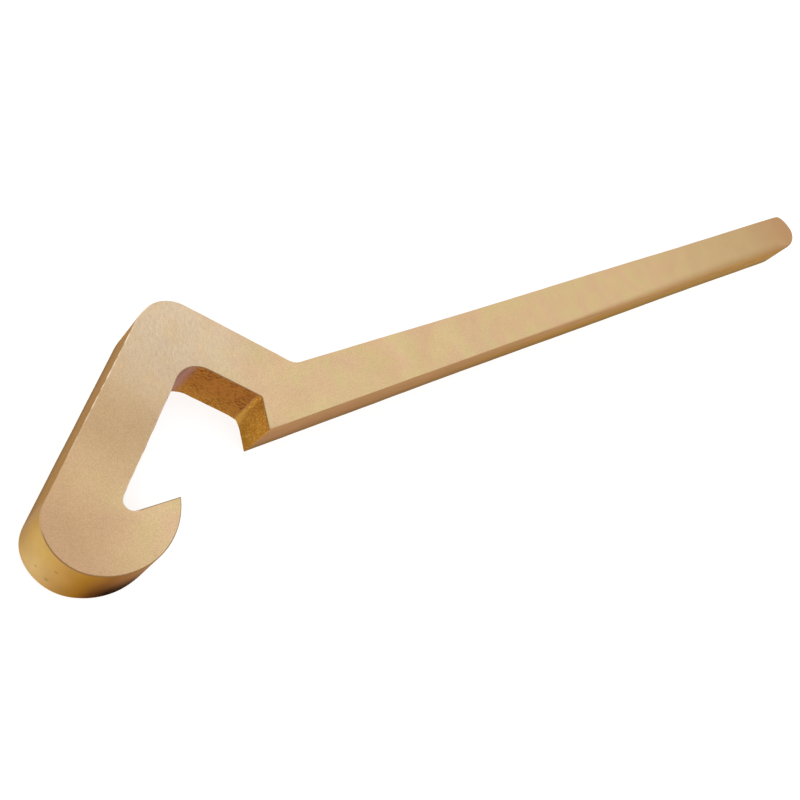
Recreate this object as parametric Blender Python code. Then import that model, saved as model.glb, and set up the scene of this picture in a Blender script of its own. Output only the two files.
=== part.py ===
"""Fire hydrant wrench: one bar bent into a handle, a bridge and an arm that ends in a hook.

The wrench lies flat, +Z up. The handle runs along +X, and the elbow of the head points to +Y.
The origin is at the middle of the underside of the whole tool's box. Units are metres.

The outline is drawn first in head coordinates, whose zero is the bend in the bar's centre line,
where the handle meets the bridge, and the finished mesh is then moved to the origin above.
"""
import math

import bmesh
import bpy
from mathutils import Matrix, Vector

# Driving dimensions
LENGTH = 0.400
THICKNESS = 0.0145
BAR_WIDTH = 0.0150

# Bridge: the slanted length between the handle and the elbow
BRIDGE_ANGLE = math.radians(45.0)
BRIDGE_RUN = 0.0385
BEND_RADIUS = 0.0050

# Arm: it leans back from the elbow to the hook. The elbow's outer side is a tight arc, then a wide one
ARM_ANGLE = math.radians(41.0)
ELBOW_OUTER_RADIUS = 0.0094
ELBOW_OUTER_SWEEP = math.radians(67.0)
ELBOW_EASE_RADIUS = 0.0215
ELBOW_INNER_RADIUS = 0.00725
MOUTH_DEPTH = 0.0480

# Tooth: the square-cut jaw where the bridge meets the handle's lower side
TOOTH_SETBACK = 0.0149
TOOTH_ANGLE = math.radians(72.0)
TOOTH_ROOT_RADIUS = 0.0010

# Hook: a working face that falls slightly to its tip, and an outer side of three tangent arcs
HOOK_FACE_ANGLE = math.radians(3.0)
HOOK_ROOT_RADIUS = 0.0024
HOOK_START = 0.0593
HEEL_RADIUS = 0.0090
HEEL_SWEEP = math.radians(37.0)
BELLY_RADIUS = 0.0130
BELLY_SWEEP = math.radians(71.0)
NOSE_RADIUS = 0.0190

# Edges: lightly broken, then rounder along the grip, most of all the one that the fingers pull on
EDGE_BREAK = 0.0005
EDGE_SEGMENTS = 3
HANDLE_START = 0.060
ROUNDING_START = 0.120
GRIP_EDGE_RADIUS = 0.0010
PULL_EDGE_RADIUS = 0.0040
GRIP_STATIONS = 8

# End of the handle: two quarters of ellipses in plan, the pulled side's the longer one, and eased
END_DEPTH = 0.0165
END_BACK_DEPTH = 0.0065
END_DROP = 0.0006
END_STATIONS = 9
END_STOP_ANGLE = math.radians(76.0)
END_ROUND_SHARE = 0.9

ARC_STEP = math.radians(6.0)
WELD_DISTANCE = 0.000001
SMOOTH_ANGLE = math.radians(30.0)

OBJECT_NAME = "wrench_body"
COLLECTION_NAME = "fire_hydrant_wrench"

BRONZE_COLOUR = (0.56, 0.37, 0.18, 1.0)
BRONZE_ROUGHNESS = 0.45


def clear_scene():
    for old in list(bpy.data.objects):
        bpy.data.objects.remove(old)


def heading(angle):
    """Unit vector that points along an angle measured from +X."""
    return Vector((math.cos(angle), math.sin(angle)))


def left_of(direction):
    return Vector((-direction.y, direction.x))


def shifted(line, distance):
    """The same line moved sideways, to the left of its own direction."""
    point, direction = line
    return point + left_of(direction) * distance, direction


def meet(first, second):
    """The point where two lines, each a point and a direction, cross."""
    gap = second[0] - first[0]
    travel = gap.cross(second[1]) / first[1].cross(second[1])
    return first[0] + first[1] * travel


def arc(start, direction, radius, sweep):
    """Points along an arc that leaves start along direction and turns left by sweep.

    A negative sweep turns right. The new direction at the arc's end is returned as well.
    """
    side = math.copysign(1.0, sweep)
    centre = start + left_of(direction) * radius * side
    steps = max(2, math.ceil(abs(sweep) / ARC_STEP))
    points = []
    for step in range(steps + 1):
        turn = Matrix.Rotation(sweep * step / steps, 2)
        points.append(centre + turn @ (start - centre))
    return points, Matrix.Rotation(sweep, 2) @ direction


def rounded_corner(incoming, outgoing, radius):
    """Arc that rounds the corner between a line that arrives and a line that leaves."""
    corner = meet(incoming, outgoing)
    turn = math.atan2(incoming[1].cross(outgoing[1]), incoming[1].dot(outgoing[1]))
    start = corner - incoming[1] * radius * math.tan(abs(turn) / 2)
    return arc(start, incoming[1], radius, turn)[0]


def eased_corner(incoming, outgoing, radius, sweep, ease_radius):
    """Corner rounded by an arc through the given sweep, then by a wider one into the line that leaves."""
    turn = math.atan2(incoming[1].cross(outgoing[1]), incoming[1].dot(outgoing[1]))
    tight, direction = arc(meet(incoming, outgoing), incoming[1], radius, sweep)
    wide, direction = arc(tight[-1], direction, ease_radius, turn - sweep)
    slide = meet((wide[-1], incoming[1]), outgoing) - wide[-1]
    return [point + slide for point in tight + wide[1:]]


def crossing(centre, radius, line):
    """Where a line leaves a circle, met along the line's own direction."""
    point, direction = line
    along = (centre - point).dot(direction)
    foot = point + direction * along
    half_chord = math.sqrt(radius ** 2 - (foot - centre).length_squared)
    return foot + direction * half_chord


def hook_outline(arm_side, hook_face):
    """The hook's outer side: heel, belly and nose, from the arm's outer side to the tip."""
    heel, direction = arc(arm_side[0] + arm_side[1] * HOOK_START, arm_side[1], HEEL_RADIUS, HEEL_SWEEP)
    belly, direction = arc(heel[-1], direction, BELLY_RADIUS, BELLY_SWEEP)
    nose_centre = belly[-1] + left_of(direction) * NOSE_RADIUS
    tip = crossing(nose_centre, NOSE_RADIUS, hook_face)
    chord = (tip - belly[-1]).length
    nose, direction = arc(belly[-1], direction, NOSE_RADIUS, 2 * math.asin(chord / (2 * NOSE_RADIUS)))
    return heel + belly[1:] + nose[1:]


def head_outline():
    """Closed outline of the head and the first stretch of handle, anticlockwise."""
    half = BAR_WIDTH / 2
    handle_top = (Vector((0, half)), heading(math.pi))
    handle_low = (Vector((0, -half)), heading(0))

    bridge = (Vector((0, 0)), heading(math.pi - BRIDGE_ANGLE))
    elbow = bridge[1] * BRIDGE_RUN
    arm = (elbow, heading(math.pi + ARM_ANGLE))
    bridge_outer = shifted(bridge, -half)
    bridge_inner = shifted(bridge, half)
    arm_outer = shifted(arm, -half)
    arm_inner = shifted(arm, half)

    mouth_corner = meet(arm_inner, bridge_inner)
    hook_face = (mouth_corner + arm[1] * MOUTH_DEPTH, heading(-HOOK_FACE_ANGLE))
    tooth = (Vector((-TOOTH_SETBACK, -half)), heading(TOOTH_ANGLE))

    # Lines on the mouth's side are walked from the hook's tip towards the tooth.
    hook_face_inward = (hook_face[0], -hook_face[1])
    arm_inner_upward = (arm_inner[0], -arm_inner[1])
    bridge_inner_down = (bridge_inner[0], -bridge_inner[1])
    tooth_down = (tooth[0], -tooth[1])

    outline = [Vector((HANDLE_START, half))]
    outline += rounded_corner(handle_top, bridge_outer, BEND_RADIUS)
    outline += eased_corner(bridge_outer, arm_outer, ELBOW_OUTER_RADIUS, ELBOW_OUTER_SWEEP,
                            ELBOW_EASE_RADIUS)
    outline += hook_outline(arm_outer, hook_face)
    outline += rounded_corner(hook_face_inward, arm_inner_upward, HOOK_ROOT_RADIUS)
    outline += rounded_corner(arm_inner_upward, bridge_inner_down, ELBOW_INNER_RADIUS)
    outline += rounded_corner(bridge_inner_down, tooth_down, TOOTH_ROOT_RADIUS)
    outline += [meet(tooth, handle_low), Vector((HANDLE_START, -half))]
    return outline


def plate_from_outline(outline):
    """Bmesh of the outline extruded to the wrench's thickness, lying on z = 0."""
    curve = bpy.data.curves.new("head_outline", "CURVE")
    curve.dimensions = "2D"
    curve.fill_mode = "BOTH"
    curve.extrude = THICKNESS / 2
    spline = curve.splines.new("POLY")
    spline.points.add(len(outline) - 1)
    for spline_point, place in zip(spline.points, outline):
        spline_point.co = (place.x, place.y, 0, 1)
    spline.use_cyclic_u = True

    guide = bpy.data.objects.new("head_outline", curve)
    bpy.context.scene.collection.objects.link(guide)
    guide.location.z = THICKNESS / 2
    graph = bpy.context.evaluated_depsgraph_get()
    plate_mesh = bpy.data.meshes.new_from_object(guide.evaluated_get(graph))
    plate = bmesh.new()
    plate.from_mesh(plate_mesh)
    plate.transform(guide.matrix_world)
    bpy.data.objects.remove(guide)
    bpy.data.meshes.remove(plate_mesh)

    bmesh.ops.remove_doubles(plate, verts=plate.verts, dist=WELD_DISTANCE)
    bmesh.ops.dissolve_limit(plate, angle_limit=math.radians(0.5), verts=plate.verts, edges=plate.edges)
    bmesh.ops.recalc_face_normals(plate, faces=plate.faces)
    return plate


def end_face(solid):
    """The flat face furthest along the handle."""
    return max(solid.faces, key=lambda face: face.calc_center_median().x)


def break_edges(plate):
    """Round the rim of both faces, all but the edges of the cut end of the handle."""
    cut_end = set(end_face(plate).edges)
    rim = []
    for edge in plate.edges:
        horizontal = [face for face in edge.link_faces if abs(face.normal.z) > 0.5]
        if len(horizontal) == 1 and edge not in cut_end:
            rim.append(edge)
    bmesh.ops.bevel(plate, geom=rim, offset=EDGE_BREAK, offset_type="OFFSET", affect="EDGES",
                    segments=EDGE_SEGMENTS, profile=0.5)


def end_half_width(place, handle_end, depth):
    """Half width of one side of the handle, full until the last stretch of the given depth."""
    run = max(0.0, 1 - (handle_end - place) / depth)
    return BAR_WIDTH / 2 * math.sqrt(1 - (run * math.sin(END_STOP_ANGLE)) ** 2)


def section_at(place, handle_end, half_thickness, grip_share):
    """One section: its place, the half width and two edge radii of each side, and half thickness."""
    plain = EDGE_BREAK + (GRIP_EDGE_RADIUS - EDGE_BREAK) * grip_share
    pulled = EDGE_BREAK + (PULL_EDGE_RADIUS - EDGE_BREAK) * grip_share
    sides = {}
    for side, depth, upper in ((-1.0, END_DEPTH, pulled), (1.0, END_BACK_DEPTH, plain)):
        half_width = end_half_width(place, handle_end, depth)
        largest = half_width * END_ROUND_SHARE
        sides[side] = (half_width, {-1.0: min(plain, largest), 1.0: min(upper, largest)})
    return place, sides, half_thickness


def handle_sections(handle_end):
    """Sections along the grip, then closer ones round its end."""
    end_start = handle_end - END_DEPTH
    sections = [section_at(ROUNDING_START, handle_end, THICKNESS / 2, 0.0)]
    for station in range(1, GRIP_STATIONS + 1):
        part_way = station / GRIP_STATIONS
        place = ROUNDING_START + (end_start - ROUNDING_START) * part_way
        sections.append(section_at(place, handle_end, THICKNESS / 2, part_way))
    for station in range(1, END_STATIONS + 1):
        angle = END_STOP_ANGLE * station / END_STATIONS
        place = end_start + END_DEPTH * math.sin(angle) / math.sin(END_STOP_ANGLE)
        drop = END_DROP * (1 - math.cos(angle)) / (1 - math.cos(END_STOP_ANGLE))
        sections.append(section_at(place, handle_end, THICKNESS / 2 - drop, 1.0))
    return sections


def draw_out_handle(solid, handle_end):
    """Extrude the cut end section by section, and reshape each new end to its section."""
    mid_height = THICKNESS / 2
    sections = handle_sections(handle_end)
    before = sections[0]
    for section in sections:
        place, sides, half_thickness = section
        extruded = bmesh.ops.extrude_discrete_faces(solid, faces=[end_face(solid)])
        for vert in extruded["faces"][0].verts:
            side = math.copysign(1.0, vert.co.y)
            level = math.copysign(1.0, vert.co.z - mid_height)
            old_half_width, old_radii = before[1][side]
            half_width, radii = sides[side]
            across = abs(vert.co.y) - (old_half_width - old_radii[level])
            upward = abs(vert.co.z - mid_height) - (before[2] - old_radii[level])
            angle = math.atan2(upward, across)
            radius = radii[level]
            vert.co.x = place
            vert.co.y = side * (half_width - radius + radius * math.cos(angle))
            vert.co.z = mid_height + level * (half_thickness - radius + radius * math.sin(angle))
        before = section


def bronze():
    """Ground aluminium bronze."""
    material = bpy.data.materials.new("aluminium_bronze")
    material.use_nodes = True
    shader = material.node_tree.nodes["Principled BSDF"]
    shader.inputs["Base Color"].default_value = BRONZE_COLOUR
    shader.inputs["Metallic"].default_value = 1.0
    shader.inputs["Roughness"].default_value = BRONZE_ROUGHNESS
    return material


def wrench_body():
    outline = head_outline()
    hook_side = min(point.x for point in outline)
    lowest = min(point.y for point in outline)
    highest = max(point.y for point in outline)

    solid = plate_from_outline(outline)
    break_edges(solid)
    draw_out_handle(solid, hook_side + LENGTH)
    box_centre = Vector((hook_side + LENGTH / 2, (lowest + highest) / 2, 0))
    bmesh.ops.translate(solid, verts=solid.verts, vec=-box_centre)

    mesh = bpy.data.meshes.new(OBJECT_NAME)
    solid.to_mesh(mesh)
    solid.free()
    mesh.shade_smooth()
    mesh.set_sharp_from_angle(angle=SMOOTH_ANGLE)
    mesh.materials.append(bronze())
    return bpy.data.objects.new(OBJECT_NAME, mesh)


def main():
    clear_scene()
    parts = bpy.data.collections.new(COLLECTION_NAME)
    bpy.context.scene.collection.children.link(parts)
    parts.objects.link(wrench_body())


main()
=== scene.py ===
"""Looks of the fire hydrant wrench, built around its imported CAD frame. Units are metres.

The bar's outline is drawn again at a finer pitch and a rounded edge profile is swept along it, so the
broken edges, the softened grip and the hand-finished walls are all real surface. The two flat faces
are filled with fine triangles, which carry the slight unevenness that grinding leaves.
"""
import math

import bpy
from mathutils import Matrix, Vector, geometry, kdtree, noise


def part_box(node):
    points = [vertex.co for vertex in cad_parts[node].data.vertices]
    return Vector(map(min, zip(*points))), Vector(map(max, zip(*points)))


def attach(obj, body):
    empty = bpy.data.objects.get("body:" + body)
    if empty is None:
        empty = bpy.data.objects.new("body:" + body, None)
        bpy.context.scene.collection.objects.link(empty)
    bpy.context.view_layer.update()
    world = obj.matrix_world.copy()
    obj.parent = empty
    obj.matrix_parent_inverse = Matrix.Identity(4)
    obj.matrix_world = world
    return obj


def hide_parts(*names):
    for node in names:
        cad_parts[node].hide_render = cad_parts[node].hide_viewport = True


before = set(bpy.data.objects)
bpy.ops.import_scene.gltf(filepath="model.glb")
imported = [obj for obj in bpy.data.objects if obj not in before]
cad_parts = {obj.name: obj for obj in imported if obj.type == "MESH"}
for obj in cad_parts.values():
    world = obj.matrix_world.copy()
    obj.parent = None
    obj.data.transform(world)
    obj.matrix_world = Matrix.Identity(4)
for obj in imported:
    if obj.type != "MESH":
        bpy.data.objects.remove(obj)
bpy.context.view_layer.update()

NODE = "wrench_body"
BODY = "root"
box_low, box_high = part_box(NODE)
LENGTH = box_high.x - box_low.x
THICKNESS = box_high.z - box_low.z

# The design's driving dimensions, as in the CAD
BAR_WIDTH = 0.0150
BRIDGE_ANGLE = math.radians(45.0)
BRIDGE_RUN = 0.0385
BEND_RADIUS = 0.0050
ARM_ANGLE = math.radians(41.0)
ELBOW_OUTER_RADIUS = 0.0094
ELBOW_OUTER_SWEEP = math.radians(67.0)
ELBOW_EASE_RADIUS = 0.0215
ELBOW_INNER_RADIUS = 0.00725
MOUTH_DEPTH = 0.0480
TOOTH_SETBACK = 0.0149
TOOTH_ANGLE = math.radians(72.0)
TOOTH_ROOT_RADIUS = 0.0010
HOOK_FACE_ANGLE = math.radians(3.0)
HOOK_ROOT_RADIUS = 0.0024
HOOK_START = 0.0593
HEEL_RADIUS = 0.0090
HEEL_SWEEP = math.radians(37.0)
BELLY_RADIUS = 0.0130
BELLY_SWEEP = math.radians(71.0)
NOSE_RADIUS = 0.0190
END_DEPTH = 0.0165
END_BACK_DEPTH = 0.0065
END_DROP = 0.0006

# Edges: crisp on the head, softer along the grip, most of all the one that the fingers pull on. A side
# begins to count as pulled at the first Y of its inward normal, and counts in full at the second
HEAD_EDGE_RADIUS = 0.00030
GRIP_EDGE_RADIUS = 0.0009
PULL_EDGE_RADIUS = 0.0055
ROUNDING_START = 0.060
ROUNDING_END = 0.270
PULL_FADE_START = 0.024
PULL_FADE_END = 0.009
PULLED_NORMALS = (0.6, 1.0)
EDGE_WANDER = 0.22
EDGE_WANDER_PITCH = 0.005
TOOTH_WEAR_RADIUS = 0.0008
TOOTH_WEAR_REACH = 0.006

# The bar is a little slimmer past the head and swells towards its end
WAIST_DEPTH = 0.00027
WAIST_PLACE = 0.078
WAIST_SPREAD = 0.055
GRIP_SWELL = 0.00055
SWELL_START = 0.200
SWELL_END = 0.325

# The hook's rounded side leans out towards the underside, and the jaw's root fills out there
HOOK_FLARE = 0.00042
ROOT_FILL = 0.00045
ROOT_REACH = 0.0020

# The hook's nose leans out further, from the first share of the outline on and fully past the second
NOSE_SHARES = (0.64, 0.78)
NOSE_FLARE = 0.0003

# Where the finishes lie: the hook's fades in on both sides of its first point, and the elbow's inner
# corner has a rosy part with an even core
HOOK_BLEND = 0.0030
ROSE_REACH = 0.0085
ROSE_CORE = 0.6

# The hook's edge carries painted shade from this share of the heel's radius past its first point. The arm's
# outer edge is worn and painted with a bright glint past the elbow, plain again before the hook, and its
# inner edge carries less of it
EDGE_SHADE_START = 0.3
WORN_FADE_IN = 0.006
WORN_FADE_OUT = 0.040
MOUTH_WORN = 0.6

# Unevenness left by hand finishing
WALL_WAVE_HEIGHT = 0.00005
WALL_WAVE_PITCH = 0.010
MOUTH_ROUGH_HEIGHT = 0.00012
MOUTH_ROUGH_PITCH = 0.0022
FACE_WAVE_HEIGHT = 0.00006
FACE_WAVE_PITCH = 0.030

# Small pits in the hook's side: share of the hook's outline, height and radius
PITS = (
    (0.265, 0.0045, 0.0006),
    (0.342, 0.0090, 0.0007),
    (0.333, 0.0035, 0.0008),
)
PIT_DEPTH_SHARE = 0.25

# Fineness of the mesh. Points inside a face keep clear of its rim by a share of the face's step
ARC_STEP = math.radians(2.0)
STRAIGHT_STEP = 0.0009
EDGE_ROWS = 6
WALL_ROWS = 30
SUPPORT_WIDTH = 0.0002
FACE_STEP = 0.0016
RIM_GAP = 0.5
FUSE_MILLIMETRES = 0.0001
SHARP_ANGLE = math.radians(35.0)
MILLI = 0.001

# Studio
WHITE = (1.0, 1.0, 1.0, 1.0)
SKY_STRENGTH = 0.95
FLOOR_REACH = 3.0
FLOOR_GAP = 0.0002
FLOOR_COLOUR = (0.42, 0.42, 0.42, 1.0)
FLOOR_ROUGHNESS = 0.8
FLOOR_GLOW = 0.75
KEY_PLACE = (0.45, 1.05, 1.30)
KEY_AIM = (-0.10, 0.0, 0.0)
KEY_SIZE = 1.6
KEY_POWER = 0.8

# Camera
CAMERA_PLACE = Vector((-0.28944, -0.05834, 0.21921))
CAMERA_AIM = Vector((-0.07464, -0.01208, 0.0))
CAMERA_ROLL = math.radians(52.64)
CAMERA_LENS = 45.68
SENSOR_WIDTH = 36.0
CLIP_START = 0.01


def heading(angle):
    """Unit vector that points along an angle measured from +X."""
    return Vector((math.cos(angle), math.sin(angle)))


def left_of(direction):
    """Unit vector at a right angle to a unit vector, on its left."""
    return Vector((-direction.y, direction.x))


def shifted(line, distance):
    """The same line moved sideways, to the left of its own direction."""
    point, direction = line
    return point + left_of(direction) * distance, direction


def meet(first, second):
    """The point where two lines, each a point and a direction, cross."""
    gap = second[0] - first[0]
    travel = gap.cross(second[1]) / first[1].cross(second[1])
    return first[0] + first[1] * travel


def arc(start, direction, radius, sweep):
    """Points along an arc that leaves start along direction and turns left by sweep."""
    side = math.copysign(1.0, sweep)
    centre = start + left_of(direction) * radius * side
    steps = max(2, math.ceil(abs(sweep) / ARC_STEP))
    points = []
    for step in range(steps + 1):
        turn = Matrix.Rotation(sweep * step / steps, 2)
        points.append(centre + turn @ (start - centre))
    return points, Matrix.Rotation(sweep, 2) @ direction


def rounded_corner(incoming, outgoing, radius):
    """Arc that rounds the corner between a line that arrives and a line that leaves."""
    corner = meet(incoming, outgoing)
    turn = math.atan2(incoming[1].cross(outgoing[1]), incoming[1].dot(outgoing[1]))
    start = corner - incoming[1] * radius * math.tan(abs(turn) / 2)
    return arc(start, incoming[1], radius, turn)[0]


def eased_corner(incoming, outgoing, radius, sweep, ease_radius):
    """Corner rounded by one arc through the given sweep, then a wider one into the line that leaves."""
    turn = math.atan2(incoming[1].cross(outgoing[1]), incoming[1].dot(outgoing[1]))
    tight, direction = arc(meet(incoming, outgoing), incoming[1], radius, sweep)
    wide, direction = arc(tight[-1], direction, ease_radius, turn - sweep)
    slide = meet((wide[-1], incoming[1]), outgoing) - wide[-1]
    return [point + slide for point in tight + wide[1:]]


def crossing(centre, radius, line):
    """Where a line leaves a circle, met along the line's own direction."""
    point, direction = line
    along = (centre - point).dot(direction)
    foot = point + direction * along
    half_chord = math.sqrt(radius ** 2 - (foot - centre).length_squared)
    return foot + direction * half_chord


def hook_outline(arm_side, hook_face):
    """The hook's outer side: heel, belly and nose, from the arm's outer side to the tip."""
    heel, direction = arc(arm_side[0] + arm_side[1] * HOOK_START, arm_side[1], HEEL_RADIUS, HEEL_SWEEP)
    belly, direction = arc(heel[-1], direction, BELLY_RADIUS, BELLY_SWEEP)
    nose_centre = belly[-1] + left_of(direction) * NOSE_RADIUS
    tip = crossing(nose_centre, NOSE_RADIUS, hook_face)
    chord = (tip - belly[-1]).length
    nose, direction = arc(belly[-1], direction, NOSE_RADIUS, 2 * math.asin(chord / (2 * NOSE_RADIUS)))
    return heel + belly[1:] + nose[1:]


def handle_end(end_x):
    """The end in plan, from the pulled side round to the back: a long and a short quarter ellipse."""
    steps = math.ceil(math.pi / ARC_STEP)
    points = []
    for step in range(steps + 1):
        angle = math.pi * step / steps - math.pi / 2
        depth = END_DEPTH if angle < 0 else END_BACK_DEPTH
        points.append(Vector((end_x - depth + depth * math.cos(angle), BAR_WIDTH / 2 * math.sin(angle))))
    return points


def wrench_outline():
    """Stretches of the closed outline, anticlockwise: handle end, back of the head, hook, mouth, jaw.

    All are in head coordinates, whose zero is the bend of the bar's centre line. The named corners
    that finishes are tied to come with them.
    """
    half = BAR_WIDTH / 2
    handle_top = (Vector((0, half)), heading(math.pi))
    handle_low = (Vector((0, -half)), heading(0))
    bridge = (Vector((0, 0)), heading(math.pi - BRIDGE_ANGLE))
    arm = (bridge[1] * BRIDGE_RUN, heading(math.pi + ARM_ANGLE))
    bridge_outer, bridge_inner = shifted(bridge, -half), shifted(bridge, half)
    arm_outer, arm_inner = shifted(arm, -half), shifted(arm, half)
    mouth_corner = meet(arm_inner, bridge_inner)
    hook_face = (mouth_corner + arm[1] * MOUTH_DEPTH, heading(-HOOK_FACE_ANGLE))
    tooth = (Vector((-TOOTH_SETBACK, -half)), heading(TOOTH_ANGLE))

    back = rounded_corner(handle_top, bridge_outer, BEND_RADIUS)
    back += eased_corner(bridge_outer, arm_outer, ELBOW_OUTER_RADIUS, ELBOW_OUTER_SWEEP,
                         ELBOW_EASE_RADIUS)
    hook = hook_outline(arm_outer, hook_face)

    arm_upward = (arm_inner[0], -arm_inner[1])
    bridge_down = (bridge_inner[0], -bridge_inner[1])
    mouth = rounded_corner((hook_face[0], -hook_face[1]), arm_upward, HOOK_ROOT_RADIUS)
    inner_corner = rounded_corner(arm_upward, bridge_down, ELBOW_INNER_RADIUS)
    mouth += inner_corner
    jaw = rounded_corner(bridge_down, (tooth[0], -tooth[1]), TOOTH_ROOT_RADIUS)
    jaw.append(meet(tooth, handle_low))

    end_x = min(point.x for point in hook) + LENGTH
    stretches = {"end": handle_end(end_x), "back": back, "hook": hook, "mouth": mouth, "jaw": jaw}
    corners = {"elbow": arm[0], "hook": arm[0] + arm[1] * MOUTH_DEPTH, "inner": mouth_corner,
               "rose": inner_corner[0], "root": meet(bridge_inner, tooth), "tooth": jaw[-1]}
    return stretches, corners


def resampled(points):
    """The same open path, without its last point, and with its straights cut into short steps."""
    path = []
    for here, there in zip(points, points[1:]):
        steps = max(1, round((there - here).length / STRAIGHT_STEP))
        path += [here.lerp(there, step / steps) for step in range(steps)]
    return path


def smooth_step(start, end, value):
    """Smooth ramp from nothing, where the value is start, to one, where it is end."""
    part = min(1.0, max(0.0, (value - start) / (end - start)))
    return part * part * (3 - 2 * part)


def swelling(x):
    """How far each side of the handle stands out from the plain bar."""
    waist = math.exp(-((x - WAIST_PLACE) / WAIST_SPREAD) ** 2)
    return GRIP_SWELL * smooth_step(SWELL_START, SWELL_END, x) - WAIST_DEPTH * waist


class Outline:
    """The closed outline as one path, with what the sweep needs to know at each of its points."""

    def __init__(self):
        stretches, self.corners = wrench_outline()
        names = list(stretches)
        self.path = []
        self.stretch = []
        for name, following in zip(names, names[1:] + names[:1]):
            piece = resampled(stretches[name] + stretches[following][:1])
            self.path += piece
            self.stretch += [name] * len(piece)
        low_y = min(point.y for point in self.path)
        high_y = max(point.y for point in self.path)
        self.shift = Vector((box_low.x - min(point.x for point in self.path),
                             (box_low.y + box_high.y - low_y - high_y) / 2, box_low.z))
        for point in self.path:
            if point.x > 0:
                point.y *= 1 + swelling(point.x) / (BAR_WIDTH / 2)
        self.arm_middle = self.corners["elbow"].lerp(self.corners["hook"], 0.5)
        self.hook = [point for point, name in zip(self.path, self.stretch) if name == "hook"]
        self.hook_start = self.stretch.index("hook")
        tip_gaps = [(point - self.corners["tooth"]).length for point in self.path]
        self.tooth_tip = tip_gaps.index(min(tip_gaps))
        self.end_x = max(point.x for point in self.path)
        self.inward = [self.inward_normal(index) for index in range(len(self.path))]

    def place(self, point, height):
        """The place in the frame of a point of the plan."""
        return Vector((point.x, point.y, height)) + self.shift

    def on_hook(self, share, height):
        """A place on the hook's outer side, at a share of its outline."""
        return self.place(self.hook[round(share * (len(self.hook) - 1))], height)

    def inward_normal(self, index):
        """Inward direction, stretched at a corner so that offset sides stay parallel."""
        here = self.path[index]
        before = (here - self.path[index - 1]).normalized()
        after = (self.path[(index + 1) % len(self.path)] - here).normalized()
        middle = (left_of(before) + left_of(after)).normalized()
        return middle / middle.dot(left_of(after))

    def is_handle(self, index):
        """On the handle's lower side, past the tooth."""
        return self.stretch[index] == "jaw" and index > self.tooth_tip

    def masks(self, index):
        """Which hand-finished side the point lies on; its edges' burrs and painted shade, and wear with a
        painted glint.
        """
        name = self.stretch[index]
        point = self.path[index]
        reach = (point - self.hook[0]).length
        hook = belly = turn = 0.0
        if name == "hook":
            hook = smooth_step(-HOOK_BLEND, HOOK_BLEND, reach)
            belly = smooth_step(0.0, HEEL_RADIUS, reach)
            turn = (index - self.hook_start) / (len(self.hook) - 1)
        if name == "back":
            hook = smooth_step(-HOOK_BLEND, HOOK_BLEND, -reach)
        mouth = 1.0 if name == "mouth" else 0.0
        jaw = 1.0 if name == "jaw" and not self.is_handle(index) else 0.0
        inner = self.corners["inner"].x
        # Burrs on the mouth's and jaw's edges, and painted shade along the hook's edge past the heel
        burr_and_shade = max(mouth * smooth_step(inner - ELBOW_INNER_RADIUS, inner, point.x), jaw,
                   belly * smooth_step(EDGE_SHADE_START * HEEL_RADIUS, HEEL_RADIUS, reach))
        rose_reach = (point - self.corners["rose"]).length
        rose = smooth_step(ROSE_REACH, ROSE_CORE * ROSE_REACH, rose_reach)
        elbow = self.corners["elbow"].x
        # Worn edges, made bright with a painted glint, past the elbow
        wear_and_glint = smooth_step(elbow, elbow - WORN_FADE_IN, point.x) if name in ("back", "hook") else 0.0
        wear_and_glint *= smooth_step(0.0, WORN_FADE_OUT, reach)
        arm_side = smooth_step(inner, inner - ELBOW_INNER_RADIUS, point.x)
        wear_and_glint = max(wear_and_glint, MOUTH_WORN * mouth * arm_side)
        return {"hook": hook, "belly": belly, "turn": turn, "mouth": mouth, "jaw": jaw, "burr_and_shade": burr_and_shade,
                "rose": mouth * rose, "wear_and_glint": wear_and_glint * (1 - burr_and_shade)}

    def root_share(self, point, height):
        """How close a place is to the jaw's root, where the file has left it rounder low down."""
        reach = (point - self.corners["root"]).length
        return (1 - height / THICKNESS) * math.exp(-(reach / ROOT_REACH) ** 2)

    def edge_radii(self, index):
        """Radius of the upper and of the lower edge."""
        point = self.path[index]
        grip = smooth_step(ROUNDING_START, ROUNDING_END, point.x)
        roughness = noise.noise(Vector((point.x, point.y, 0.0)) / EDGE_WANDER_PITCH)
        wander = 1 + EDGE_WANDER * roughness * (1 - grip)
        pulled = smooth_step(*PULLED_NORMALS, self.inward[index].y)
        pulled *= smooth_step(self.end_x - PULL_FADE_END, self.end_x - PULL_FADE_START, point.x)
        plain = (HEAD_EDGE_RADIUS + (GRIP_EDGE_RADIUS - HEAD_EDGE_RADIUS) * grip) * wander
        upper = plain + (PULL_EDGE_RADIUS - GRIP_EDGE_RADIUS) * grip * pulled
        if self.is_handle(index):
            reach = (point - self.corners["tooth"]).length
            upper += TOOTH_WEAR_RADIUS * (1 - smooth_step(0.0, TOOTH_WEAR_REACH, reach))
        return upper, plain


def edge_rows(radius):
    """Rows from the flat face over its edge: inset, depth below the face, and share of the wall."""
    rows = [(radius + SUPPORT_WIDTH, 0.0, 0.0)]
    for step in range(EDGE_ROWS + 1):
        angle = math.pi / 2 * step / EDGE_ROWS
        rows.append((radius * (1 - math.sin(angle)), radius * (1 - math.cos(angle)), step / EDGE_ROWS))
    return rows


def wall_rows(upper, lower):
    """Rows from the upper face down the wall to the lower face: inset, height, share of the wall."""
    rows = [(inset, THICKNESS - depth, wall) for inset, depth, wall in edge_rows(upper)]
    for step in range(1, WALL_ROWS):
        height = THICKNESS - upper - (THICKNESS - upper - lower) * step / WALL_ROWS
        rows.append((0.0, height, 1.0))
    rows += [(inset, depth, wall) for inset, depth, wall in reversed(edge_rows(lower))]
    return rows


MASKS = ("wall", "edge", "burr_and_shade", "wear_and_glint", "hook", "turn", "mouth", "jaw", "root", "rose")


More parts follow.
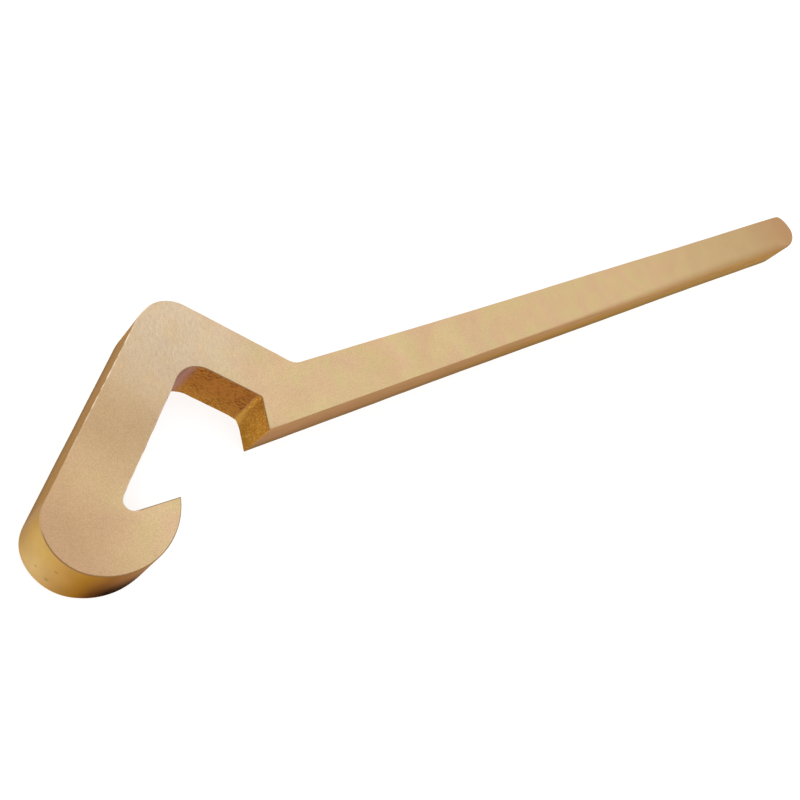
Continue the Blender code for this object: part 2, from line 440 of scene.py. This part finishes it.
class WrenchMesh:
    """Collects the vertices, faces and finish masks of the visual mesh."""

    def __init__(self, outline):
        self.outline = outline
        self.verts = []
        self.faces = []
        self.masks = {name: [] for name in MASKS}
        self.pits = [(outline.on_hook(share, height), radius) for share, height, radius in PITS]

    def add_vert(self, x, y, z, **masks):
        """A vertex at a place of the plan and a height, with the masks that aren't nothing there."""
        self.verts.append(self.outline.place(Vector((x, y)), z))
        for name, values in self.masks.items():
            values.append(masks.get(name, 0.0))

    def squeeze(self, x):
        """Share of the full thickness that is left towards the eased end."""
        eased = smooth_step(self.outline.end_x - END_DEPTH, self.outline.end_x, x)
        return 1 - END_DROP / (THICKNESS / 2) * eased

    def face_wave(self, x, y, level):
        """How far a ground face lies below its highest points."""
        wave = noise.noise(Vector((x, y, level * THICKNESS)) / FACE_WAVE_PITCH)
        return FACE_WAVE_HEIGHT * (0.5 + 0.5 * wave)

    def wall_offset(self, place, masks):
        """Outward offset of the wall: tool wander, rough mouth, flared hook, full root and pits."""
        offset = WALL_WAVE_HEIGHT * noise.noise(place / WALL_WAVE_PITCH)
        rough = max(masks["mouth"], masks["jaw"])
        offset += rough * MOUTH_ROUGH_HEIGHT * noise.noise(place / MOUTH_ROUGH_PITCH)
        flare = masks["belly"] * HOOK_FLARE + smooth_step(*NOSE_SHARES, masks["turn"]) * NOSE_FLARE
        offset += flare * (1 - place.z / THICKNESS)
        offset += rough * ROOT_FILL * self.outline.root_share(place.xy, place.z)
        spot = self.outline.place(place.xy, place.z)
        for centre, radius in self.pits:
            offset -= PIT_DEPTH_SHARE * radius * (1 - smooth_step(0.0, radius, (spot - centre).length))
        return offset

    def sweep_edges(self):
        """The edges and the wall, all round the outline."""
        outline = self.outline
        for index, point in enumerate(outline.path):
            inward = outline.inward[index]
            masks = outline.masks(index)
            crisp = 1 - smooth_step(0.0, ROUNDING_START, point.x)
            for inset, height, wall in wall_rows(*outline.edge_radii(index)):
                x, y = point + inward * inset
                z = THICKNESS / 2 + (height - THICKNESS / 2) * self.squeeze(point.x)
                offset = wall * self.wall_offset(Vector((x, y, z)), masks)
                x, y = Vector((x, y)) - inward.normalized() * offset
                level = 1 if height > THICKNESS / 2 else -1
                z -= level * (1 - wall) * self.face_wave(x, y, level)
                root = outline.root_share(Vector((x, y)), z)
                edge = crisp * math.sqrt(abs(math.sin(math.pi * wall)))
                self.add_vert(x, y, z, wall=wall, edge=edge, root=root, **masks)

        rows = len(self.verts) // len(outline.path)
        for index in range(len(outline.path)):
            here, there = index * rows, (index + 1) % len(outline.path) * rows
            for row in range(rows - 1):
                self.faces.append((here + row, here + row + 1, there + row + 1, there + row))
        return rows

    def fill_face(self, loop, level):
        """Fine triangles inside a loop of vertices, which lie on the upper or the lower face."""
        rim = [(self.verts[index] - self.outline.shift).xy / MILLI for index in loop]
        tree = kdtree.KDTree(len(rim))
        for number, place in enumerate(rim):
            tree.insert(place.to_3d(), number)
        tree.balance()
        step = FACE_STEP / MILLI
        rise = step * math.sqrt(0.75)
        low = Vector((min(place.x for place in rim), min(place.y for place in rim)))
        high = Vector((max(place.x for place in rim), max(place.y for place in rim)))
        points = list(rim)
        for row in range(int((high.y - low.y) / rise)):
            for column in range(int((high.x - low.x) / step)):
                spot = low + Vector(((column + 0.5 * (row % 2)) * step, row * rise))
                if tree.find(spot.to_3d())[2] > RIM_GAP * step:
                    points.append(spot)
        ring = list(range(len(rim)))
        filled = geometry.delaunay_2d_cdt(points, [], [ring], 1, FUSE_MILLIMETRES)
        spots, _, triangles, sources, _, _ = filled

        names = {}
        for number, source in enumerate(sources):
            if source and source[0] < len(rim):
                names[number] = loop[source[0]]
        for triangle in triangles:
            for number in triangle:
                if number not in names:
                    x, y = spots[number] * MILLI
                    half = THICKNESS / 2 * self.squeeze(x) - self.face_wave(x, y, level)
                    names[number] = len(self.verts)
                    self.add_vert(x, y, THICKNESS / 2 + level * half)
            corners = [names[number] for number in triangle]
            self.faces.append(corners if level > 0 else corners[::-1])

    def build(self):
        """The edges and wall with both faces filled, smooth but for the sharp corners."""
        rows = self.sweep_edges()
        count = len(self.outline.path)
        self.fill_face([index * rows for index in range(count)], 1)
        self.fill_face([index * rows + rows - 1 for index in range(count)], -1)
        mesh = bpy.data.meshes.new("wrench")
        mesh.from_pydata(self.verts, [], self.faces)
        mesh.validate()
        for name, values in self.masks.items():
            mesh.attributes.new(name, "FLOAT", "POINT").data.foreach_set("value", values)
        mesh.shade_smooth()
        mesh.set_sharp_from_angle(angle=SHARP_ANGLE)
        return mesh


# How much fine structure a noise has, its plain stretch, and the parts of its range that ramps spread
SOFT = 2.0
BROKEN = 3.0
FINE = 4.0
EVEN = (1.0, 1.0, 1.0)
MOST_OF_NOISE = (0.3, 0.7)
ALL_OF_NOISE = (0.25, 0.75)


class NodeKit:
    """Short calls for the few kinds of shader node that the metal is made of."""

    def __init__(self, material):
        self.nodes = material.node_tree.nodes
        self.links = material.node_tree.links
        self.place = self.nodes.new("ShaderNodeTexCoord").outputs["Object"]
        split = self.node("ShaderNodeSeparateXYZ", {"Vector": self.place})
        self.x, _, self.z = split.outputs

    def feed(self, socket, value):
        """Link another node's output, or set a plain value."""
        if isinstance(value, bpy.types.NodeSocket):
            self.links.new(value, socket)
        else:
            socket.default_value = value

    def node(self, kind, inputs, **settings):
        """A new node with its settings made and its inputs, by name or number, fed."""
        made = self.nodes.new(kind)
        for name, value in settings.items():
            setattr(made, name, value)
        for key, value in inputs.items():
            self.feed(made.inputs[key], value)
        return made

    def mask(self, name):
        """One of the mesh's finish masks."""
        return self.node("ShaderNodeAttribute", {}, attribute_name=name).outputs["Fac"]

    def math(self, operation, first, second):
        return self.node("ShaderNodeMath", {0: first, 1: second}, operation=operation).outputs[0]

    def times(self, first, second):
        return self.math("MULTIPLY", first, second)

    def plus(self, first, second):
        return self.math("ADD", first, second)

    def span(self, value, start, end, at_start=0.0, at_end=1.0):
        """Smooth ramp between two numbers while the value goes from start to end."""
        ends = {"Value": value, "From Min": start, "From Max": end, "To Min": at_start, "To Max": at_end}
        return self.node("ShaderNodeMapRange", ends, interpolation_type="SMOOTHSTEP").outputs[0]

    def near(self, centre, inner, outer):
        """One within the inner distance of a place, falling to nothing at the outer distance."""
        places = {0: self.place, 1: centre}
        reach = self.node("ShaderNodeVectorMath", places, operation="DISTANCE").outputs[1]
        return self.span(reach, inner, outer, 1.0, 0.0)

    def mix(self, share, first, second):
        """From the first colour to the second."""
        return self.node("ShaderNodeMix", {0: share, 6: first, 7: second}, data_type="RGBA").outputs[2]

    def between(self, share, first, second):
        """From the first number to the second."""
        return self.node("ShaderNodeMix", {0: share, 2: first, 3: second}).outputs[0]

    def scale(self, colour, factor):
        """Colour times a number that may vary."""
        return self.node("ShaderNodeVectorMath", {0: colour, "Scale": factor}, operation="SCALE").outputs[0]

    def ramp(self, value, stops):
        """Colour that runs through stops, each a value and its colour, in rising order."""
        made = self.node("ShaderNodeValToRGB", {"Fac": value})
        elements = made.color_ramp.elements
        while len(elements) < len(stops):
            elements.new(1.0)
        for element, (position, colour) in zip(elements, stops):
            element.position = position
            element.color = colour
        return made.outputs["Color"]

    def noise(self, pitch, detail=SOFT, stretch=EVEN, turn=0.0):
        """Noise with features about one pitch wide, stretched along axes turned about +Z."""
        axes = {"Vector": self.place, "Rotation": (0.0, 0.0, turn), "Scale": stretch}
        moved = self.node("ShaderNodeMapping", axes, vector_type="TEXTURE").outputs[0]
        texture = {"Vector": moved, "Scale": 1 / pitch, "Detail": detail}
        return self.node("ShaderNodeTexNoise", texture).outputs[0]

    def speckle(self, pitch, stretch=EVEN, turn=0.0):
        """The same noise, soft and spread from minus one to one."""
        return self.span(self.noise(pitch, SOFT, stretch, turn), *ALL_OF_NOISE, -1.0, 1.0)

    def bump(self, height, depth, under=None):
        """Normals of a relief whose height, from nothing to one, stands for a depth in metres."""
        relief = {"Height": height, "Distance": depth}
        if under:
            relief["Normal"] = under
        return self.node("ShaderNodeBump", relief).outputs["Normal"]


# Colours of the finishes, scene linear. Several carry painted light and shade, as noted where they stand
GRAZING_TINT = (0.80, 0.62, 0.40, 1.0)
FACE_TAN = (0.722, 0.552, 0.296, 1.0)
FACE_WARM = (0.734, 0.514, 0.308, 1.0)
# Painted sheen: the elbow's paler face colours stand in for a soft highlight
ELBOW_PAINTED_SHEEN_PALE = (0.710, 0.565, 0.400, 1.0)
ELBOW_PAINTED_SHEEN_WARM = (0.745, 0.550, 0.330, 1.0)
# Painted shade: the arm's browner face colour is partly its own tone and partly offsets the key light's
# highlight
FACE_ARM_PAINTED_SHADE = (0.590, 0.410, 0.230, 1.0)
FACE_ROSE = (0.590, 0.375, 0.215, 1.0)
# Painted shade: the face turns darker, then pinker, towards the handle's end
END_PAINTED_SHADE_TAN = (0.620, 0.452, 0.250, 1.0)
END_PAINTED_SHADE_PINK = (0.575, 0.360, 0.203, 1.0)
# Sides: darker than the face, partly by their own finish and partly as painted shade. The lighter colour
# near their top is painted light
WALL_ROSE = (0.350, 0.176, 0.100, 1.0)
WALL_GOLD = (0.318, 0.162, 0.020, 1.0)
WALL_TOP_PAINTED_LIGHT = (0.390, 0.215, 0.118, 1.0)
ARM_BROWN = (0.31, 0.150, 0.036, 1.0)
# Mouth: dark orange, partly its sanded finish and partly painted shade
MOUTH_ORANGE = (0.415, 0.170, 0.038, 1.0)
MOUTH_OLIVE = (0.385, 0.172, 0.030, 1.0)
MOUTH_DARK = (0.21, 0.070, 0.018, 1.0)
CORNER_ROSE = (0.42, 0.235, 0.205, 1.0)
JAW_GOLD = (0.47, 0.215, 0.032, 1.0)
JAW_LIGHT = (0.66, 0.375, 0.080, 1.0)
# Painted glint: the near-white colour of worn edges
WORN_EDGE_PAINTED_GLINT = (0.95, 0.780, 0.620, 1.0)
# Brown of burrs, and of painted shade along the hook's edge
BURR_AND_SHADE_BROWN = (0.22, 0.105, 0.035, 1.0)
PIT_DARK = (0.20, 0.110, 0.045, 1.0)

# Round the hook's side: shares of its outline with their colours, by the face and by the underside. Over
# the golden finish they carry painted light: a painted highlight near the heel, painted shade brown round
# the belly, a nearly black painted reflection of shadowed floor low on it, and lighter again at the nose
HOOK_UPPER_GOLD_AND_PAINTED_LIGHT = (
    (0.00, (0.394, 0.239, 0.112, 1.0)),
    (0.09, (0.465, 0.290, 0.112, 1.0)),
    (0.18, (0.545, 0.362, 0.135, 1.0)),
    (0.26, (0.540, 0.350, 0.112, 1.0)),
    (0.36, (0.465, 0.260, 0.080, 1.0)),
    (0.46, (0.345, 0.162, 0.026, 1.0)),
    (0.53, (0.275, 0.112, 0.026, 1.0)),
    (0.60, (0.330, 0.150, 0.060, 1.0)),
    (0.66, (0.405, 0.220, 0.110, 1.0)),
    (0.73, (0.450, 0.290, 0.180, 1.0)),
    (0.85, (0.550, 0.380, 0.170, 1.0)),
)
HOOK_LOWER_GOLD_AND_PAINTED_LIGHT = (
    (0.00, (0.345, 0.223, 0.112, 1.0)),
    (0.09, (0.425, 0.276, 0.129, 1.0)),
    (0.18, (0.555, 0.380, 0.170, 1.0)),
    (0.26, (0.615, 0.440, 0.205, 1.0)),
    (0.36, (0.490, 0.295, 0.110, 1.0)),
    (0.47, (0.290, 0.122, 0.018, 1.0)),
    (0.51, (0.110, 0.036, 0.008, 1.0)),
    (0.56, (0.020, 0.008, 0.004, 1.0)),
    (0.62, (0.040, 0.018, 0.009, 1.0)),
    (0.73, (0.305, 0.162, 0.090, 1.0)),
    (0.85, (0.550, 0.380, 0.170, 1.0)),
)

# Headings of the grinding lines and of the streaks in the mouth
GRAIN_HEADING = math.radians(74.0)
BRIDGE_HEADING = math.radians(-45.0)

# Ground face: patches, then the elbow's painted sheen, the arm browner partly with painted shade, the rosy
# hook and the end darker with painted shade, each with its reach
PATCH_PITCH = 0.008
PATCH_RANGE = (0.38, 0.62)
ELBOW_REACHES = (0.004, 0.036)
ELBOW_SHEEN_MOST = 0.9
SUNNY_PITCH = 0.005
SUNNY_RANGE = (0.45, 0.65)
SUNNY_MOST = 0.45
ARM_REACHES = (0.012, 0.030)
ROSE_WIDTH = 0.030
ROSE_MOST = 0.9
END_TAN_SPAN = (0.030, 0.170)
END_PINK_SPAN = (0.145, 0.195)

# Light and dark on the ground face, stronger on the head than on the handle: grain, lines and clouds
GRAIN_PITCH = 0.00028
GRAIN_SPAN = (-0.10, 0.06)
GRAIN_STRENGTHS = (0.11, 0.030)
ELBOW_GRAIN = 0.7
LINE_PITCH = 0.00030
LINE_STRETCH = (6.0, 1.0, 1.0)
ELBOW_LINES = 0.08
CLOUD_PITCH = 0.011
CLOUD_SPAN = (-0.10, 0.10)
CLOUD_STRENGTHS = (0.030, 0.012)

# Mouth: dark streaks in patches, and olive with light specks low down
STREAK_PITCH = 0.00042
STREAK_STRETCH = (2.5, 1.0, 1.3)
STREAK_RANGE = (0.42, 0.62)
STREAK_PATCH_PITCH = 0.0045
STREAK_PATCH_RANGE = (0.40, 0.60)
STREAK_LEAST = 0.40
LOW_HEIGHTS = (0.008, 0.001)
OLIVE_MOST = 0.5
SPECK_PITCH = 0.00035
SPECK_RANGE = (0.50, 0.62)
SPECK_MOST = 0.6

# Jaw: upright file lines, marks, painted shade towards the foot, and a light band at the root
FILE_PITCH = 0.00032
FILE_STRETCH = (1.0, 1.0, 3.0)
FILE_RANGE = (0.42, 0.66)
MARK_PITCH = 0.00050
MARK_STRETCH = (1.0, 1.0, 2.5)
MARK_RANGE = (0.54, 0.66)
MARK_MOST = 0.6
JAW_SHADE_HEIGHT = 0.012
JAW_PAINTED_SHADES = (0.76, 1.04)
BAND_RANGE = (0.25, 0.7)
BAND_MOST = 0.7

# Hook's side: the lower colours are alone up to this height, patches and pits vary them, and the dull
# painted dark reflection comes in and goes out between shares of the outline
HOOK_LOW_HEIGHT = 0.0015
HOOK_PATCH_PITCH = 0.006
HOOK_SHADES = (0.95, 1.05)
PIT_CORE = 0.2
PIT_MOST = 0.45
DARK_REFLECTION_START = (0.41, 0.53)
DARK_REFLECTION_END = (0.74, 0.86)

# Narrow sides: rose to gold along the bar, lighter near the top as painted light, darker at the foot as
# painted shade, and drawn lengthwise
GOLD_SPAN = (-0.130, 0.050)
LIGHT_HEIGHTS = (0.006, 0.013)
LIGHT_SPAN = (0.0, 0.16)
LIGHT_LEAST = 0.6
ARM_SPAN = (-0.132, -0.142)
DRAWN_PITCH = 0.0016
DRAWN_STRETCH = (6.0, 1.0, 1.0)
DRAWN_SHADES = (0.92, 1.08)
FOOT_HEIGHT = 0.007
FOOT_PAINTED_SHADE = 0.50

# Edges: how brown the burred and painted-shade ones are, and how patchy the worn ones with their painted
# glint
BURR_AND_SHADE_MOST = 0.8
WORN_PITCH = 0.0025
WORN_RANGE = (0.35, 0.62)
WORN_LEAST = 0.15

# The side's finish takes over from the face's between these shares of the edge
WALL_RANGE = (0.15, 1.0)

# Relief, and how rough each finish is
FACE_RELIEF_PITCH = 0.00035
FACE_RELIEF_DEPTH = 0.000008
SCRATCH_PITCH = 0.00030
SCRATCH_STRETCH = (9.0, 1.0, 1.0)
SCRATCH_RANGE = (0.5, 0.75)
SCRATCH_DEPTH = 0.000006
SANDING_PITCH = 0.00060
SANDING_STRETCH = (2.5, 1.0, 1.0)
SANDING_DEPTH = 0.00006
GLOSS_PITCH = 0.012
FACE_ROUGHNESS = (0.45, 0.55)
SIDE_ROUGHNESS = 0.42
HOOK_ROUGHNESS = 0.34
MOUTH_ROUGHNESS = 0.55


def face_colour(kit, outline):
    """Ground face: two tans in patches, painted sheen at the elbow, browner arm and end with painted shade,
    rosy at both ends.
    """
    colour = kit.mix(kit.span(kit.noise(PATCH_PITCH, FINE), *PATCH_RANGE), FACE_TAN, FACE_WARM)
    elbow = kit.near(outline.place(outline.corners["elbow"], THICKNESS), *ELBOW_REACHES)
    arm = kit.near(outline.place(outline.arm_middle, THICKNESS), *ARM_REACHES)
    # Browner arm, partly its own tone and partly painted shade against the key light's highlight
    colour = kit.mix(arm, colour, FACE_ARM_PAINTED_SHADE)
    # Painted sheen over the elbow, patchy between a pale and a warm colour
    sunny = kit.span(kit.noise(SUNNY_PITCH, FINE), *SUNNY_RANGE, 0.0, SUNNY_MOST)
    sheen = kit.mix(sunny, ELBOW_PAINTED_SHEEN_PALE, ELBOW_PAINTED_SHEEN_WARM)
    colour = kit.mix(kit.times(elbow, ELBOW_SHEEN_MOST), colour, sheen)
    heel = kit.span(kit.x, box_low.x + ROSE_WIDTH, box_low.x, 0.0, ROSE_MOST)
    colour = kit.mix(heel, colour, FACE_ROSE)
    # Painted shade: darker, then pinker, towards the handle's end
    colour = kit.mix(kit.span(kit.x, *END_TAN_SPAN), colour, END_PAINTED_SHADE_TAN)
    colour = kit.mix(kit.span(kit.x, *END_PINK_SPAN), colour, END_PAINTED_SHADE_PINK)
    return kit.scale(colour, kit.plus(face_shade(kit, elbow), 1.0))


def face_shade(kit, elbow):
    """How much lighter or darker the ground face is from place to place."""
    grain = kit.span(kit.x, *GRAIN_SPAN, *GRAIN_STRENGTHS)
    shade = kit.times(kit.speckle(GRAIN_PITCH), grain)
    lines = kit.speckle(LINE_PITCH, LINE_STRETCH, GRAIN_HEADING)
    shade = kit.times(shade, kit.span(elbow, 0.0, 1.0, 1.0, ELBOW_GRAIN))
    shade = kit.plus(shade, kit.times(lines, kit.times(elbow, ELBOW_LINES)))
    clouds = kit.times(kit.speckle(CLOUD_PITCH), kit.span(kit.x, *CLOUD_SPAN, *CLOUD_STRENGTHS))
    return kit.plus(shade, clouds)


def mouth_colour(kit):
    """Belt-sanded orange walls, darker partly as painted shade, with short dark streaks, rosier in the
    elbow's inner corner.
    """
    streaks = kit.noise(STREAK_PITCH, FINE, STREAK_STRETCH, BRIDGE_HEADING)
    streaks = kit.span(streaks, *STREAK_RANGE)
    patches = kit.span(kit.noise(STREAK_PATCH_PITCH), *STREAK_PATCH_RANGE, STREAK_LEAST, 1.0)
    colour = kit.mix(kit.times(streaks, patches), MOUTH_ORANGE, MOUTH_DARK)
    low = kit.span(kit.z, *LOW_HEIGHTS)
    colour = kit.mix(kit.times(low, OLIVE_MOST), colour, MOUTH_OLIVE)
    specks = kit.times(low, kit.span(kit.noise(SPECK_PITCH, BROKEN), *SPECK_RANGE))
    colour = kit.mix(kit.times(specks, SPECK_MOST), colour, JAW_LIGHT)
    return kit.mix(kit.mask("rose"), colour, CORNER_ROSE)


def jaw_colour(kit):
    """Filed golden jaw with fine upright lines, painted shade towards the foot, and a light band along its
    root.
    """
    lines = kit.noise(FILE_PITCH, BROKEN, FILE_STRETCH)
    colour = kit.mix(kit.span(lines, *FILE_RANGE), JAW_GOLD, JAW_LIGHT)
    marks = kit.noise(MARK_PITCH, BROKEN, MARK_STRETCH)
    colour = kit.mix(kit.span(marks, *MARK_RANGE, 0.0, MARK_MOST), colour, MOUTH_ORANGE)
    # Painted shade: darker towards the foot
    colour = kit.scale(colour, kit.span(kit.z, 0.0, JAW_SHADE_HEIGHT, *JAW_PAINTED_SHADES))
    return kit.mix(kit.span(kit.mask("root"), *BAND_RANGE, 0.0, BAND_MOST), colour, JAW_LIGHT)


def hook_colour(kit, outline):
    """Satin gold with painted light: brown round the belly as painted shade, nearly black low down as a
    painted dark reflection, and lighter at the nose.
    """
    # Both ramps hold painted highlight, painted shade and a painted dark reflection over the golden finish
    upper = kit.ramp(kit.mask("turn"), HOOK_UPPER_GOLD_AND_PAINTED_LIGHT)
    lower = kit.ramp(kit.mask("turn"), HOOK_LOWER_GOLD_AND_PAINTED_LIGHT)
    colour = kit.mix(kit.span(kit.z, HOOK_LOW_HEIGHT, THICKNESS), lower, upper)
    for share, height, radius in PITS:
        pit = kit.near(outline.on_hook(share, height), PIT_CORE * radius, radius)
        colour = kit.mix(kit.times(pit, PIT_MOST), colour, PIT_DARK)
    patches = kit.noise(HOOK_PATCH_PITCH, BROKEN)
    return kit.scale(colour, kit.span(patches, *MOST_OF_NOISE, *HOOK_SHADES))


def wall_colour(kit, outline):
    """Narrow sides of the bar, with painted light at the top and painted shade at the foot, then the hook,
    the mouth and the jaw.
    """
    colour = kit.mix(kit.span(kit.x, *GOLD_SPAN), WALL_ROSE, WALL_GOLD)
    # Painted light: lighter near the top of the sides, less so along the handle
    light = kit.times(kit.span(kit.z, *LIGHT_HEIGHTS), kit.span(kit.x, *LIGHT_SPAN, 1.0, LIGHT_LEAST))
    colour = kit.mix(light, colour, WALL_TOP_PAINTED_LIGHT)
    colour = kit.mix(kit.span(kit.x, *ARM_SPAN), colour, ARM_BROWN)
    drawn = kit.noise(DRAWN_PITCH, BROKEN, DRAWN_STRETCH)
    colour = kit.scale(colour, kit.span(drawn, *MOST_OF_NOISE, *DRAWN_SHADES))
    # Painted shade: darker towards the foot of the sides
    colour = kit.scale(colour, kit.span(kit.z, 0.0, FOOT_HEIGHT, FOOT_PAINTED_SHADE, 1.0))
    colour = kit.mix(kit.mask("hook"), colour, hook_colour(kit, outline))
    colour = kit.mix(kit.mask("mouth"), colour, mouth_colour(kit))
    return kit.mix(kit.mask("jaw"), colour, jaw_colour(kit))


def edge_colour(kit, colour):
    """Burred brown edges on the mouth and jaw, painted shade on the belly's, and patchy bright ones, worn
    with a painted glint, on the arm.
    """
    edge = kit.mask("edge")
    burr_and_shade = kit.mask("burr_and_shade")
    patchy = kit.span(kit.noise(WORN_PITCH, BROKEN), *WORN_RANGE, WORN_LEAST, 1.0)
    # Brown edges: burrs on the mouth and jaw, painted shade on the hook
    colour = kit.mix(kit.times(edge, kit.times(burr_and_shade, BURR_AND_SHADE_MOST)), colour, BURR_AND_SHADE_BROWN)
    # Painted glint on the worn edges
    wear_and_glint = kit.times(kit.times(edge, patchy), kit.mask("wear_and_glint"))
    return kit.mix(wear_and_glint, colour, WORN_EDGE_PAINTED_GLINT)


def finish_normals(kit, share, rough):
    """Relief of the finishes: face grain, fine scratches along one heading, and sanding streaks."""
    grain = kit.bump(kit.noise(FACE_RELIEF_PITCH), FACE_RELIEF_DEPTH)
    lines = kit.noise(SCRATCH_PITCH, SOFT, SCRATCH_STRETCH, GRAIN_HEADING)
    scratched = kit.bump(kit.span(lines, *SCRATCH_RANGE), SCRATCH_DEPTH, grain)
    streaks = kit.noise(SANDING_PITCH, BROKEN, SANDING_STRETCH, BRIDGE_HEADING)
    height = kit.times(streaks, kit.times(share, rough))
    return kit.bump(height, SANDING_DEPTH, scratched)


def dullness(kit, share):
    """One on the hook's painted dark reflection and along edges with burrs and painted shade, which don't
    shine like metal.
    """
    rising = kit.span(kit.mask("turn"), *DARK_REFLECTION_START)
    falling = kit.span(kit.mask("turn"), *DARK_REFLECTION_END, 1.0, 0.0)
    dark_reflection = kit.times(rising, falling)
    burred_and_shaded = kit.times(kit.mask("edge"), kit.mask("burr_and_shade"))
    return kit.math("MAXIMUM", kit.times(dark_reflection, share), burred_and_shaded)


def bronze(outline):
    """Aluminium bronze with a ground face, smoother sides, a rough mouth and a hook with a painted dark
    reflection.
    """
    material = bpy.data.materials.new("bronze")
    material.use_nodes = True
    kit = NodeKit(material)
    shader = kit.nodes["Principled BSDF"]
    shader.inputs["Specular Tint"].default_value = GRAZING_TINT
    shader.inputs["Specular IOR Level"].default_value = 0.0
    share = kit.span(kit.mask("wall"), *WALL_RANGE)
    colour = kit.mix(share, face_colour(kit, outline), wall_colour(kit, outline))
    kit.feed(shader.inputs["Base Color"], edge_colour(kit, colour))

    rough = kit.math("MAXIMUM", kit.mask("mouth"), kit.mask("jaw"))
    face = kit.span(kit.noise(GLOSS_PITCH), *MOST_OF_NOISE, *FACE_ROUGHNESS)
    side = kit.between(kit.mask("hook"), SIDE_ROUGHNESS, HOOK_ROUGHNESS)
    side = kit.between(rough, side, MOUTH_ROUGHNESS)
    kit.feed(shader.inputs["Roughness"], kit.between(share, face, side))
    # Metal made dull under the hook's painted dark reflection and along the edges with burrs and painted
    # shade
    kit.feed(shader.inputs["Metallic"], kit.between(dullness(kit, share), 1.0, 0.0))
    kit.feed(shader.inputs["Normal"], finish_normals(kit, share, rough))
    return material


def add_wrench():
    """The visual wrench, which rides on the part's body in place of its CAD node."""
    outline = Outline()
    mesh = WrenchMesh(outline).build()
    mesh.materials.append(bronze(outline))
    piece = bpy.data.objects.new("wrench", mesh)
    bpy.context.scene.collection.objects.link(piece)
    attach(piece, BODY)
    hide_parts(NODE)


def add_floor():
    """A pale floor just under the wrench."""
    mesh = bpy.data.meshes.new("floor")
    signs = ((-1, -1), (1, -1), (1, 1), (-1, 1))
    mesh.from_pydata([(x * FLOOR_REACH, y * FLOOR_REACH, 0) for x, y in signs], [], [(0, 1, 2, 3)])
    material = bpy.data.materials.new("pale_floor")
    material.use_nodes = True
    shader = material.node_tree.nodes["Principled BSDF"]
    shader.inputs["Base Color"].default_value = FLOOR_COLOUR
    shader.inputs["Roughness"].default_value = FLOOR_ROUGHNESS
    shader.inputs["Emission Color"].default_value = WHITE
    shader.inputs["Emission Strength"].default_value = FLOOR_GLOW
    mesh.materials.append(material)
    floor = bpy.data.objects.new("floor", mesh)
    floor.location.z = box_low.z - FLOOR_GAP
    bpy.context.scene.collection.objects.link(floor)


def add_light(name, place, aim, size, power):
    """A round area light that faces a place."""
    light = bpy.data.lights.new(name, "AREA")
    light.shape = "DISK"
    light.size = size
    light.energy = power
    lamp = bpy.data.objects.new(name, light)
    lamp.location = place
    lamp.rotation_euler = (Vector(aim) - Vector(place)).to_track_quat("-Z", "Y").to_euler()
    bpy.context.scene.collection.objects.link(lamp)


def add_studio():
    """An even white surround and one soft key light."""
    world = bpy.data.worlds.new("studio")
    world.use_nodes = True
    background = world.node_tree.nodes["Background"]
    background.inputs["Color"].default_value = WHITE
    background.inputs["Strength"].default_value = SKY_STRENGTH
    bpy.context.scene.world = world
    add_light("key", KEY_PLACE, KEY_AIM, KEY_SIZE, KEY_POWER)
    bpy.context.scene.view_settings.view_transform = "Standard"


def add_camera():
    """The camera, aimed at the handle beside the head and rolled so that it rises to the right."""
    camera = bpy.data.cameras.new("camera")
    camera.lens = CAMERA_LENS
    camera.sensor_width = SENSOR_WIDTH
    camera.clip_start = CLIP_START
    eye = bpy.data.objects.new("camera", camera)
    look = (CAMERA_AIM - CAMERA_PLACE).to_track_quat("-Z", "Y").to_matrix()
    turn = look @ Matrix.Rotation(CAMERA_ROLL, 3, "Z")
    eye.matrix_world = Matrix.Translation(CAMERA_PLACE) @ turn.to_4x4()
    bpy.context.scene.collection.objects.link(eye)
    bpy.context.scene.camera = eye


add_camera()
add_wrench()
add_floor()
add_studio()
